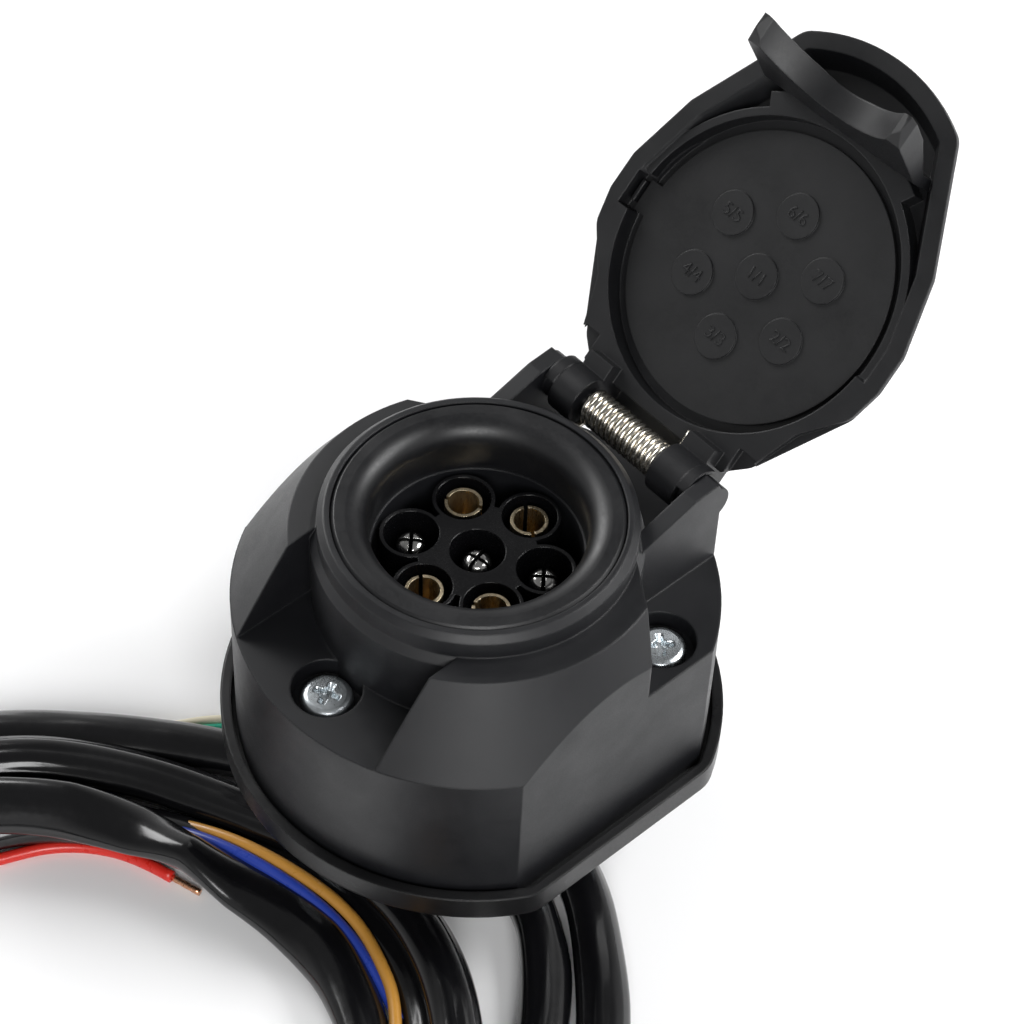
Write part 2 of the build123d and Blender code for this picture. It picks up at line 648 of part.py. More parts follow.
with BuildPart() as lid:
    # shell with leaning sides
    with BuildSketch(lid_plane(LID_RIM_Z)):
        add(rim_outline)
    extrude(amount=LID_SIDE_Z - LID_RIM_Z)
    with BuildSketch(lid_plane(LID_SIDE_Z)):
        add(skin_outline)
    extrude(amount=LID_TOP_Z - LID_SIDE_Z, taper=LID_SIDE_TAPER)
    # open channel on the far side, and the well round the disc
    with BuildSketch(lid_plane(LID_RIM_Z)):
        add(lid_channel.sketch)
    extrude(amount=LID_FLOOR_Z - LID_RIM_Z, taper=LID_CHANNEL_TAPER, mode=Mode.SUBTRACT)
    with BuildSketch(lid_plane(LID_RIM_Z)):
        with Locations(disc_centre):
            Circle(LID_WELL_R)
    extrude(amount=LID_FLOOR_Z - LID_RIM_Z, mode=Mode.SUBTRACT)
    # ring round the disc, and the step that carries the latch
    with BuildSketch(lid_plane(LID_RING_Z)):
        add(lid_ring.sketch)
        make_face(sector((LID_RING_R[0], LID_STEP_R), LID_STEP_HALF_TURN).edges())
    extrude(amount=LID_FLOOR_Z - LID_RING_Z)
    # gap for the disc's lug, with a small hook beside it
    add(closed_box(lug_gap_x, lug_gap_out, (LID_RIM_Z, LUG_Z[1])), mode=Mode.SUBTRACT)
    add(closed_box(HOOK_X, HOOK_OUT, (HOOK_Z, LID_FLOOR_Z)))
    # relief over the spring, and over the hinge arms
    hinge_side = (-LID_OUTLINE[2][0], LID_OUTLINE[2][0])
    add(closed_box(hinge_side, LID_HINGE_RELIEF_OUT, (LID_RIM_Z, LID_FLOOR_Z)), mode=Mode.SUBTRACT)
    for side in (-1, 1):
        relief = [side * x for x in LID_RELIEF_X]
        add(closed_box(sorted(relief), LID_RELIEF_OUT, (LID_RIM_Z, LID_RELIEF_Z)), mode=Mode.SUBTRACT)
    # knuckles round the pin, and their webs
    for low, high in KNUCKLE_X:
        with BuildSketch(hinge_plane.offset(low)):
            Circle(KNUCKLE_R)
        extrude(amount=high - low)
        with BuildSketch(lid_plane(HINGE_Z)):
            with Locations(((low + high) / 2, KNUCKLE_WEB_Y)):
                Rectangle(high - low, KNUCKLE_WEB_L, align=(Align.CENTER, Align.MAX))
        extrude(amount=LID_FLOOR_Z - HINGE_Z + 1)
    # hoods over the arms' bosses
    for low, high in ((-HOOD_X, KNUCKLE_X[0][0]), (KNUCKLE_X[1][1], HOOD_X)):
        with BuildSketch(hinge_plane.offset(low)):
            inside, outside = ([polar(radius, turn) for turn in hood_turns] for radius in HOOD_R)
            with BuildLine():
                ThreePointArc(*inside)
                ThreePointArc(*outside)
                Line(inside[0], outside[0])
                Line(inside[-1], outside[-1])
            make_face()
        extrude(amount=high - low)
    with BuildSketch(hinge_plane.offset(KNUCKLE_X[0][0])):
        Circle(HINGE_PIN_R + KNUCKLE_PLAY)
    extrude(amount=KNUCKLE_X[1][1] - KNUCKLE_X[0][0], mode=Mode.SUBTRACT)
    add(open_latch)
write(lid.part, "lid")

with BuildPart() as lid_seal_disc:
    with BuildSketch(lid_plane(SEAL_DISC_Z)):
        with Locations(disc_centre):
            Circle(SEAL_DISC_R)
    extrude(amount=LID_FLOOR_Z - SEAL_DISC_Z)
    with BuildSketch(lid_plane(SEAL_DISC_Z)):
        with Locations(disc_centre):
            Circle(SEAL_PAD_R)
            with PolarLocations(SEAL_PAD_STEP, 6, start_angle=30):
                Circle(SEAL_PAD_R)
    extrude(amount=-SEAL_PAD_H)
    add(closed_box(LUG_X, LUG_OUT, LUG_Z))
write(lid_seal_disc.part, "lid_seal_disc")


# ---------------------------------------------------------------- cords
def corner_radii(points):
    """The largest arc that each corner's two runs leave room for."""
    radii = []
    for before, corner, after in zip(points, points[1:], points[2:]):
        one = Vector(*corner) - Vector(*before)
        two = Vector(*after) - Vector(*corner)
        half_turn = radians(one.get_angle(two)) / 2
        radii.append(0.45 * min(one.length, two.length) / tan(half_turn))
    return radii


def cord_path(points):
    """Straight runs joined by tangent arcs."""
    return FilletPolyline(*points, radius=corner_radii(points))


# wires from the contacts to the boot
contacts_in_turn = sorted(contacts, key=lambda contact_row: (-contact_row[1], contact_row[2]))
for colour, (name, radius, angle, is_tube) in zip(WIRE_COLOURS, contacts_in_turn):
    top = (*polar(radius, angle), WIRE_TOP_Z)
    with BuildPart() as core:
        with BuildLine() as route:
            if radius:
                cord_path(
                    [
                        top,
                        (*polar(radius, angle), WIRE_BEND_Z[0]),
                        (*polar(WIRE_PACK_R, angle), WIRE_BEND_Z[1]),
                        (*polar(WIRE_PACK_R, angle), HARNESS_START_Z),
                    ]
                )
            else:
                Line(top, (0, 0, HARNESS_START_Z))
        with BuildSketch(Plane(top, z_dir=(0, 0, -1))):
            Circle(WIRE_R)
        sweep(path=route.line)
    write(core.part, f"inner_wire_{colour}")

# the sleeve, from the boot round its first turn and back under the socket
LEAD_PLAN = (
    (20.0, 1.0),
    (33.0, -1.8),
    (45.9, -10.4),
    (57.0, -19.8),
    (64.5, -30.0),
    (70.0, -43.0),
    (73.5, -58.5),
    (74.5, -76.0),
    (73.0, -94.5),
    (68.0, -112.5),
    (59.5, -129.5),
    (47.5, -143.5),
    (31.5, -154.0),
    (12.5, -159.5),
    (-7.5, -160.0),
    (-27.0, -156.5),
    (-44.5, -147.5),
    (-58.5, -134.0),
    (-68.0, -118.5),
    (-73.2, -103.5),
    (-73.8, -88.5),
    (-69.3, -74.0),
    (-60.3, -59.5),
    (-47.5, -46.0),
    (-35.0, -35.0),
    (-21.0, -24.5),
    (-6.0, -16.5),
    (9.5, -11.3),
    (24.5, -9.8),
    (37.0, -14.8),
    (48.5, -25.5),
    (57.0, -38.0),
    (62.5, -51.0),
    (65.5, -66.5),
    (66.0, -80.0),
    (64.0, -95.0),
    (59.5, -110.5),
    (52.0, -125.0),
    (41.0, -137.0),
    (27.5, -145.5),
    (11.0, -150.5),
    (-7.0, -151.0),
    (-24.0, -147.5),
    (-39.0, -139.5),
    (-51.5, -127.5),
)
lead_points = [(0, 0, HARNESS_START_Z), (0, 0, LEAD_BEND_Z), (*LEAD_BEND, SLEEVE_Z)]
lead_points += [(x, y, SLEEVE_Z) for x, y in LEAD_PLAN]

with BuildPart() as harness_lead:
    with BuildLine() as lead_route:
        cord_path(lead_points)
    with BuildSketch(Plane(lead_points[0], z_dir=(0, 0, -1))):
        Circle(SLEEVE_R)
    sweep(path=lead_route.line)
write(harness_lead.part, "harness_lead")
lead_length = lead_route.wire().length
print("lead length", round(lead_length, 1))
straight_volume = pi * SLEEVE_R**2 * lead_length
print("lead volume over section times length", round(harness_lead.part.volume / straight_volume, 4))
print("lead arc radii", [round(radius, 1) for radius in corner_radii(lead_points)])

# the inner turns lie in one flat coil, which widens where it passes in front of the socket
COIL_OUTER = (  # direction and distance from the coil's centre
    (0, 60.3),
    (12, 62.0),
    (27, 66.0),
    (41, 68.4),
    (54, 67.2),
    (73, 65.5),
    (91, 60.5),
    (108, 57.0),
    (134, 57.8),
    (152, 61.5),
    (169, 66.2),
    (183, 69.6),
    (200, 70.2),
    (213, 66.0),
    (226, 61.0),
    (250, 59.2),
    (270, 58.6),
    (297, 58.2),
    (326, 58.0),
    (345, 58.2),
)
COIL_INNER = (
    (0, 43.2),
    (36, 45.5),
    (53, 44.0),
    (70, 40.0),
    (87, 36.8),
    (100, 34.8),
    (115, 34.0),
    (141, 38.5),
    (161, 42.5),
    (180, 45.0),
    (205, 44.5),
    (225, 43.5),
    (270, 41.7),
    (315, 41.6),
    (340, 41.5),
)
COIL_UPPER_OUTER = (  # the upper turns keep clear of the front stud
    (0, 59.5),
    (27, 64.5),
    (41, 66.0),
    (58, 62.0),
    (76, 54.0),
    (91, 51.0),
    (106, 52.5),
    (134, 56.0),
    (160, 62.5),
    (183, 65.5),
    (203, 64.0),
    (226, 60.5),
    (270, 58.5),
    (326, 58.0),
)
COIL_UPPER_INSET = 3.0


def closed_line(places, grow=0.0):
    """A smooth closed line through places round the coil's centre."""
    return Spline(*[polar(radius + grow, turn, COIL_CENTRE) for turn, radius in places], periodic=True)


with BuildPart() as harness_coil:
    for low, high, outer_places, inset in (
        (FLOOR_Z, SLEEVE_TOP_Z, COIL_OUTER, 0.0),
        (SLEEVE_TOP_Z, COIL_UPPER_Z, COIL_UPPER_OUTER, COIL_UPPER_INSET),
    ):
        with BuildSketch(Plane.XY.offset(low)):
            with BuildLine():
                closed_line(outer_places)
            make_face()
            with BuildSketch(Plane.XY.offset(low), mode=Mode.SUBTRACT):
                with BuildLine():
                    closed_line(COIL_INNER, inset)
                make_face()
        extrude(amount=high - low)
write(harness_coil.part, "harness_coil")
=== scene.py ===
"""Seven-pole trailer socket: looks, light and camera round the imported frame."""

import json
from math import cos, pi, radians, sin, sqrt, tau

import bmesh
import bpy
import numpy as np
from mathutils import Matrix, Vector


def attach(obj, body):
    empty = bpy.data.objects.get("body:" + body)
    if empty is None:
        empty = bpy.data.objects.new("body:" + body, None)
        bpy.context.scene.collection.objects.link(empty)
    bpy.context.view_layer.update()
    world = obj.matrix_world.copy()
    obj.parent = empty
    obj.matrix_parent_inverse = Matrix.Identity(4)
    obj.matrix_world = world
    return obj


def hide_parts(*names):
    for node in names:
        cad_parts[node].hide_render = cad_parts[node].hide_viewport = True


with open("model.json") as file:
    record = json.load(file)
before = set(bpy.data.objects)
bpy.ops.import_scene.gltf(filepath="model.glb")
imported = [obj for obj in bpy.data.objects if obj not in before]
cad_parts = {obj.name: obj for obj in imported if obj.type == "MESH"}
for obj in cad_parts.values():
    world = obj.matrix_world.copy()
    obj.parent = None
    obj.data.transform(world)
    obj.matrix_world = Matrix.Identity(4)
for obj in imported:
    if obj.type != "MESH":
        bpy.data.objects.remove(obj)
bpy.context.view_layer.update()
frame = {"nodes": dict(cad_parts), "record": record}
nodes = frame["nodes"]
MM = 0.001

# ---------------------------------------------------------------- camera, light and floor
LOOK_RIGHT = Vector((0.6611, 0.7499, 0.0245)).normalized()
LOOK_BACK = Vector((0.4680, -0.4380, 0.7675)).normalized()
LOOK_UP = LOOK_BACK.cross(LOOK_RIGHT)
MOUTH_HEIGHT = 0.0448  # height of the point that the camera looks at
CAMERA_DISTANCE = 0.5
LENS = 107.05  # mm
LENS_SHIFT = (0.0339, 0.0300)
FLOOR_Z = -0.021
LIGHT_SIZE = 0.5
LIGHT_AIM = (0, 0, 0.02)
OVERHEAD_SLOPE = 0.75  # height of a direction from which the studio is as dim as overhead


def turned(right, up, back, place):
    """A placement with the given axes."""
    axes = Matrix((right, up, back)).transposed().to_4x4()
    return Matrix.Translation(place) @ axes


def add_camera():
    camera = bpy.data.objects.new("camera", bpy.data.cameras.new("camera"))
    bpy.context.scene.collection.objects.link(camera)
    place = Vector((0, 0, MOUTH_HEIGHT)) + CAMERA_DISTANCE * LOOK_BACK
    camera.matrix_world = turned(LOOK_RIGHT, LOOK_UP, LOOK_BACK, place)
    camera.data.lens = LENS
    camera.data.shift_x, camera.data.shift_y = LENS_SHIFT
    camera.data.clip_start = 0.01
    bpy.context.scene.camera = camera


def add_light(name, place, power):
    """A square soft light that faces the object."""
    data = bpy.data.lights.new(name, "AREA")
    data.size = LIGHT_SIZE
    data.energy = power
    light = bpy.data.objects.new(name, data)
    bpy.context.scene.collection.objects.link(light)
    light.location = place
    light.rotation_euler = (Vector(LIGHT_AIM) - Vector(place)).to_track_quat("-Z", "Y").to_euler()


def add_world(horizon, overhead):
    """A white studio that is brighter low down than overhead."""
    world = bpy.data.worlds.new("studio")
    bpy.context.scene.world = world
    world.use_nodes = True
    tree = world.node_tree
    background = tree.nodes["Background"]
    background.inputs["Color"].default_value = (1, 1, 1, 1)
    place = tree.nodes.new("ShaderNodeTexCoord")
    parts = tree.nodes.new("ShaderNodeSeparateXYZ")
    tree.links.new(place.outputs["Generated"], parts.inputs["Vector"])
    fade = tree.nodes.new("ShaderNodeMapRange")
    fade.inputs["From Max"].default_value = OVERHEAD_SLOPE
    fade.inputs["To Min"].default_value = horizon
    fade.inputs["To Max"].default_value = overhead
    tree.links.new(parts.outputs["Z"], fade.inputs["Value"])
    tree.links.new(fade.outputs["Result"], background.inputs["Strength"])


bpy.context.scene.view_settings.view_transform = "Standard"
add_camera()
add_world(0.7, 0.15)
add_light("back_light", (0.45, 0.65, 0.75), 9.0)
add_light("front_light", (0.70, -0.55, 0.65), 7.0)
add_light("left_light", (-0.85, 0.05, 0.55), 6.0)


# ---------------------------------------------------------------- materials
def node(tree, kind, **inputs):
    """A shader node with the given input values."""
    made = tree.nodes.new(kind)
    for name, value in inputs.items():
        made.inputs[name.replace("_", " ")].default_value = value
    return made


BROAD_SCALE = 90.0  # patches of about 11 mm
FINE_SHARE = 0.4  # of the fine grain in the unevenness of colour and roughness
COAT_ROUGHNESS = 0.12


def surface(
    name,
    color,
    roughness,
    metallic=0.0,
    grain_size=0.0004,
    grain_depth=0.00001,
    color_change=0.25,
    roughness_change=0.12,
    stretch=(1, 1, 1),
    edge=0.0,
    coat=0.0,
):
    """A procedural surface: fine grain, broad unevenness and, if asked, softened edges."""
    material = bpy.data.materials.new(name)
    material.use_nodes = True
    tree = material.node_tree
    shader = tree.nodes["Principled BSDF"]
    shader.inputs["Metallic"].default_value = metallic
    shader.inputs["Coat Weight"].default_value = coat
    shader.inputs["Coat Roughness"].default_value = COAT_ROUGHNESS
    place = tree.nodes.new("ShaderNodeTexCoord")
    mapping = tree.nodes.new("ShaderNodeMapping")
    mapping.inputs["Scale"].default_value = stretch
    tree.links.new(place.outputs["Object"], mapping.inputs["Vector"])
    broad = node(tree, "ShaderNodeTexNoise", Scale=BROAD_SCALE, Detail=4.0, Roughness=0.6)
    fine = node(tree, "ShaderNodeTexNoise", Scale=1 / grain_size, Detail=3.0, Roughness=0.55)
    for noise in (broad, fine):
        tree.links.new(mapping.outputs["Vector"], noise.inputs["Vector"])
    # colour
    shade = tree.nodes.new("ShaderNodeMix")
    shade.data_type = "RGBA"
    dark, light = (tuple(c * (1 + k * color_change) for c in color) + (1.0,) for k in (-1, 1))
    shade.inputs["A"].default_value = dark
    shade.inputs["B"].default_value = light
    both = node(tree, "ShaderNodeMix", Factor=FINE_SHARE)
    tree.links.new(broad.outputs["Fac"], both.inputs["A"])
    tree.links.new(fine.outputs["Fac"], both.inputs["B"])
    tree.links.new(both.outputs["Result"], shade.inputs["Factor"])
    tree.links.new(shade.outputs["Result"], shader.inputs["Base Color"])
    # roughness
    spread = tree.nodes.new("ShaderNodeMapRange")
    spread.inputs["From Min"].default_value = 0.3
    spread.inputs["From Max"].default_value = 0.7
    spread.inputs["To Min"].default_value = max(0.02, roughness - roughness_change)
    spread.inputs["To Max"].default_value = min(1.0, roughness + roughness_change)
    tree.links.new(both.outputs["Result"], spread.inputs["Value"])
    tree.links.new(spread.outputs["Result"], shader.inputs["Roughness"])
    # grain, over softened edges
    bump = node(tree, "ShaderNodeBump", Strength=1.0, Distance=grain_depth)
    tree.links.new(fine.outputs["Fac"], bump.inputs["Height"])
    if edge:
        bevel = node(tree, "ShaderNodeBevel", Radius=edge)
        tree.links.new(bevel.outputs["Normal"], bump.inputs["Normal"])
    tree.links.new(bump.outputs["Normal"], shader.inputs["Normal"])
    return material


MOULDED = {"grain_size": 0.00025, "grain_depth": 0.000006}
MATERIALS = {
    "housing_plastic": surface("housing_plastic", (0.0060, 0.0063, 0.0078), 0.46, edge=0.0005, **MOULDED),
    "lid_plastic": surface("lid_plastic", (0.0055, 0.0057, 0.0068), 0.44, edge=0.0004, **MOULDED),
    "gasket_rubber": surface(
        "gasket_rubber", (0.005, 0.005, 0.0056), 0.36, grain_depth=0.000004, edge=0.0006
    ),
    "seal_rubber": surface(
        "seal_rubber", (0.005, 0.0052, 0.0062), 0.42, grain_depth=0.000003, edge=0.0003
    ),
    "disc_rubber": surface(
        "disc_rubber", (0.0075, 0.0077, 0.0085), 0.50, grain_depth=0.000004, edge=0.0003
    ),
    "carrier_plastic": surface(
        "carrier_plastic", (0.003, 0.003, 0.0036), 0.24, grain_depth=0.000002, edge=0.0003
    ),
    "brass": surface(
        "brass",
        (0.80, 0.67, 0.46),
        0.28,
        metallic=1.0,
        stretch=(6, 6, 0.4),
        color_change=0.5,
        edge=0.00012,
    ),
    "nickel": surface(
        "nickel", (0.74, 0.73, 0.71), 0.15, metallic=1.0, grain_depth=0.000001, edge=0.0002
    ),
    "zinc": surface(
        "zinc",
        (0.74, 0.79, 0.82),
        0.30,
        metallic=1.0,
        grain_depth=0.000004,
        color_change=0.15,
        edge=0.00015,
    ),
    "spring_steel": surface(
        "spring_steel", (0.72, 0.68, 0.60), 0.24, metallic=1.0, grain_depth=0.000001
    ),
    "hinge_steel": surface("hinge_steel", (0.10, 0.10, 0.10), 0.4, metallic=1.0, edge=0.0002),
    "sleeve_pvc": surface(
        "sleeve_pvc",
        (0.0035, 0.0035, 0.0042),
        0.19,
        grain_size=0.0012,
        grain_depth=0.000012,
        roughness_change=0.05,
        coat=0.3,
    ),
    "copper": surface("copper", (0.80, 0.42, 0.25), 0.3, metallic=1.0),
}
WIRE_COLORS = {
    "blue": (0.02, 0.05, 0.35),
    "white": (0.80, 0.74, 0.56),
    "green": (0.0, 0.36, 0.22),
    "brown": (0.50, 0.24, 0.04),
    "red": (0.72, 0.025, 0.015),
    "black": (0.008, 0.008, 0.009),
    "yellow": (0.70, 0.45, 0.03),
}
for wire_color, shade in WIRE_COLORS.items():
    MATERIALS[f"wire_{wire_color}"] = surface(
        f"wire_{wire_color}",
        shade,
        0.33,
        grain_size=0.0008,
        grain_depth=0.000004,
        color_change=0.12,
        coat=0.2,
    )

for subpart in frame["record"]["subparts"]:
    cad_object = nodes[subpart["node"]]
    for material_slot in cad_object.material_slots:
        material_slot.material = MATERIALS[subpart["material_slot"]]


def finish_piece(piece, body, slot, *replaced):
    """Put a piece on its body, in its material, in place of the CAD nodes that it stands for."""
    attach(piece, body)
    piece.data.materials.clear()
    piece.data.materials.append(MATERIALS[slot])
    if replaced:
        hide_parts(*replaced)


# ---------------------------------------------------------------- mesh helpers
def mesh_object(name, points, faces, smooth=True):
    """A mesh object in the scene, from points and faces."""
    mesh = bpy.data.meshes.new(name)
    mesh.from_pydata([tuple(p) for p in points], [], faces)
    mesh.update()
    if smooth:
        mesh.polygons.foreach_set("use_smooth", [True] * len(mesh.polygons))
    piece = bpy.data.objects.new(name, mesh)
    bpy.context.scene.collection.objects.link(piece)
    return piece


def spline_points(controls, resolution=12):
    """Points along the smooth spline that has these control points."""
    curve = bpy.data.curves.new("route", "CURVE")
    curve.dimensions = "3D"
    curve.resolution_u = resolution
    spline = curve.splines.new("NURBS")
    spline.points.add(len(controls) - 1)
    for point, place in zip(spline.points, controls):
        point.co = (*place, 1)
    spline.order_u = 3
    spline.use_endpoint_u = True
    holder = bpy.data.objects.new("route", curve)
    mesh = bpy.data.meshes.new_from_object(holder)
    points = [v.co.copy() for v in mesh.vertices]
    bpy.data.objects.remove(holder)
    bpy.data.meshes.remove(mesh)
    bpy.data.curves.remove(curve)
    return points


def even_points(points, step):
    """The same line with its points about a step apart."""
    line = np.array(points)
    run = np.concatenate([[0], np.cumsum(np.linalg.norm(np.diff(line, axis=0), axis=1))])
    places = np.linspace(0, run[-1], max(2, round(run[-1] / step)))
    return np.stack([np.interp(places, run, line[:, k]) for k in range(3)], axis=1), places


def level_frames(line):
    """A side and an up direction for each point, level wherever the line isn't steep."""
    tangents = np.gradient(line, axis=0)
    tangents /= np.linalg.norm(tangents, axis=1)[:, None]
    up = np.array((0.0, 0.0, 1.0))
    ups = np.zeros_like(line)
    for index in reversed(range(len(line))):
        tangent = tangents[index]
        guide = np.array((0.0, 0.0, 1.0)) if abs(tangent[2]) < 0.7 else up
        up = guide - tangent * (guide @ tangent)
        up /= np.linalg.norm(up)
        ups[index] = up
    return np.cross(tangents, ups), ups


def ring_faces(rings, around):
    """Quads between rings of points that follow each other."""
    faces = []
    for ring in range(rings - 1):
        for k in range(around):
            low, high = ring * around, (ring + 1) * around
            after = (k + 1) % around
            faces.append((low + k, low + after, high + after, high + k))
    return faces


def tube(name, line, radii, around=14, cap=True, ups=None):
    """A round tube along a line, one radius for each point."""
    if ups is None:
        sides, ups = level_frames(line)
    else:
        sides = np.cross(np.gradient(line, axis=0), ups)
        sides /= np.linalg.norm(sides, axis=1)[:, None]
    turns = np.arange(around) * tau / around
    points = []
    for place, side, up, radius in zip(line, sides, ups, radii):
        points += [place + radius * (cos(t) * side + sin(t) * up) for t in turns]
    faces = ring_faces(len(line), around)
    if cap:
        faces.append(tuple(reversed(range(around))))
        last = (len(line) - 1) * around
        faces.append(tuple(range(last, last + around)))
    return mesh_object(name, points, faces)


# ---------------------------------------------------------------- harness
SLEEVE_R = 0.0042
SLEEVE_WALL = 0.0006
SLEEVE_Z = FLOOR_Z + SLEEVE_R
SLEEVE_DOWN_Z = -0.012  # below this, or beyond this run, the sleeve lies down
SLEEVE_DOWN_RUN = 0.06
SLEEVE_LIP_POINTS = 9
WIRE_R = 0.0011
WIRE_Z = FLOOR_Z + WIRE_R
WIRE_PACK_R = 0.00235
COIL_CENTRE = (0.001, -0.088)
COIL_STEP = 22.5  # degrees between the coil's control points
SLEEVE_END_TURN = 262  # direction of the sleeve's open end from the coil's centre

SLEEVE_START = (
    (0.0, 0.0, 0.0030),
    (0.0, 0.0, -0.0092),
    (0.0074, 0.0005, SLEEVE_Z),
)
LEAD_PLAN = (
    (0.0200, 0.0010),
    (0.0330, -0.0018),
    (0.0459, -0.0104),
    (0.0570, -0.0198),
    (0.0645, -0.0300),
    (0.0700, -0.0430),
    (0.0735, -0.0585),
    (0.0745, -0.0760),
    (0.0730, -0.0945),
    (0.0680, -0.1125),
    (0.0595, -0.1295),
    (0.0475, -0.1435),
    (0.0315, -0.1540),
    (0.0125, -0.1595),
    (-0.0075, -0.1600),
    (-0.0270, -0.1565),
    (-0.0445, -0.1475),
    (-0.0585, -0.1340),
    (-0.0680, -0.1185),
    (-0.0732, -0.1035),
    (-0.0738, -0.0885),
    (-0.0693, -0.0740),
    (-0.0603, -0.0595),
    (-0.0475, -0.0460),
    (-0.0350, -0.0350),
    (-0.0210, -0.0245),
    (-0.0060, -0.0165),
    (0.0095, -0.0113),
    (0.0245, -0.0098),
    (0.0370, -0.0148),
    (0.0485, -0.0255),
    (0.0570, -0.0380),
    (0.0625, -0.0510),
    (0.0655, -0.0665),
    (0.0660, -0.0800),
    (0.0640, -0.0950),
    (0.0595, -0.1105),
    (0.0520, -0.1250),
    (0.0410, -0.1370),
    (0.0275, -0.1455),
    (0.0110, -0.1505),
    (-0.0070, -0.1510),
    (-0.0240, -0.1475),
    (-0.0390, -0.1395),
    (-0.0515, -0.1275),
)
# direction from the coil's centre in degrees, distance from it, and rise off the floor, in mm;
# the turns run clockwise, so each turn goes 360 degrees down
COIL_PLACES = (
    (200, 66.5, 1.0),
    (180, 66.3, 2.6),
    (169, 63.4, 3.0),
    (156.3, 59.1, 3.0),
    (134.3, 54.2, 2.0),
    (108.5, 52.4, 1.2),
    (91.4, 56.1, 2.5),
    (72.7, 61.0, 5.0),
    (53.7, 62.9, 4.0),
    (40.6, 64.2, 4.0),
    (28, 64.0, 5.8),
    (14, 61.8, 7.3),
    (0, 60.3, 7.3),
    (-20, 58.4, 7.3),
    (-45, 58.6, 7.3),
    (-90, 58.8, 7.3),
    (-105, 58.9, 6.8),
    (-120, 58.3, 5.0),
    (-135, 56.5, 3.2),
    (-155, 57.0, 2.6),
    (-175, 57.6, 3.2),
    (-187.3, 53.4, 5.0),
    (-199.2, 47.3, 6.2),
    (-219.3, 42.8, 6.3),
    (-244.8, 37.9, 5.6),
    (-261.4, 38.8, 3.6),
    (-272.8, 41.4, 2.6),
    (-289.8, 44.2, 2.2),
    (-306.9, 48.4, 2.2),
    (-323.7, 49.8, 1.0),
    (-345, 48.5, 0.2),
    (-365, 46.8, 0.0),
    (-405, 45.8, 0.0),
    (-450, 45.9, 0.3),
    (-472, 46.3, 2.0),
    (-488, 47.5, 2.4),
    (-505, 48.5, 1.2),
    (-520, 49.3, 0.2),
    (-545.2, 49.3, 0.0),
    (-559, 46.8, 0.0),
    (-570.4, 46.8, 0.0),
    (-586.1, 44.7, 0.0),
    (-604.1, 42.5, 0.0),
    (-616.9, 44.1, 0.0),
    (-629.3, 49.5, 0.0),
    (-640.8, 55.5, 0.0),
    (-653.3, 58.3, 0.0),
    (-667.2, 58.8, 0.0),
    (-680.7, 58.9, 0.0),
    (-700, 57.6, 0.0),
    (-720, 56.0, 0.0),
    (-740, 54.1, 0.0),
    (-765, 54.3, 0.0),
    (-810, 54.4, 0.0),
    (-818, 54.4, 0.0),
)
# the sleeve's shape along its turns, by the same directions, from its start on: half width and
# half height over its radius, its twist in degrees, and how strongly its filling shows
SLEEVE_LOOKS = (
    (830, 1.00, 1.00, 0, 0.0),
    (790, 1.06, 0.92, 10, 0.5),
    (760, 1.10, 0.86, -25, 0.8),
    (700, 1.10, 0.88, 20, 0.6),
    (600, 1.08, 0.90, -15, 0.6),
    (530, 1.13, 0.84, 5, 0.3),
    (490, 1.12, 0.84, 12, 0.3),
    (455, 1.10, 0.86, -10, 0.6),
    (425, 1.12, 0.82, 30, 1.0),
    (405, 1.10, 0.86, -25, 1.0),
    (320, 1.08, 0.90, 20, 0.5),
    (217, 1.08, 0.90, -10, 0.7),
    (169, 1.10, 0.86, 12, 1.6),
    (134, 1.12, 0.84, 4, 1.8),
    (108, 1.10, 0.86, -8, 1.6),
    (73, 1.10, 0.84, 18, 1.2),
    (40, 1.10, 0.86, -15, 1.0),
    (-60, 1.08, 0.90, 10, 0.5),
    (-150, 1.10, 0.84, 0, 0.5),
    (-187, 1.20, 0.70, -18, 0.3),
    (-215, 1.22, 0.66, -30, 0.2),
    (-232, 1.20, 0.68, -5, 0.3),
    (-247, 1.12, 0.78, 45, 0.3),
    (-262, 1.20, 0.66, 15, 0.2),
    (-285, 1.18, 0.70, -12, 0.3),
    (-310, 1.14, 0.78, 14, 0.5),
    (-400, 1.08, 0.90, 0, 0.5),
    (-545, 1.12, 0.84, 12, 0.6),
    (-600, 1.10, 0.86, -10, 0.6),
    (-640, 1.12, 0.82, 14, 0.8),
    (-680, 1.10, 0.86, -14, 0.8),
    (-818, 1.04, 0.96, 0, 0.4),
)


def coil_points(places, rest_z, step=COIL_STEP):
    """Control points of a line that winds round the coil's centre near the given places."""
    turned_by = [-place[0] for place in places]
    count = round((turned_by[-1] - turned_by[0]) / step)
    points = []
    for turn in np.linspace(turned_by[0], turned_by[-1], count + 1):
        # the spline runs inside its control points, so they stand further out
        distance = np.interp(turn, turned_by, [p[1] for p in places]) * MM / cos(radians(step / 2))
        rise = np.interp(turn, turned_by, [p[2] for p in places]) * MM
        x = COIL_CENTRE[0] + distance * cos(radians(turn))
        y = COIL_CENTRE[1] - distance * sin(radians(turn))
        points.append((x, y, rest_z + rise))
    return points


def turned_directions(line):
    """How far the line has wound about the coil's centre, in degrees, as the coil's places say."""
    x, y = line[:, 0] - COIL_CENTRE[0], line[:, 1] - COIL_CENTRE[1]
    directions = np.degrees(np.unwrap(np.arctan2(y, x)))
    return directions + COIL_PLACES[-1][0] - directions[-1]


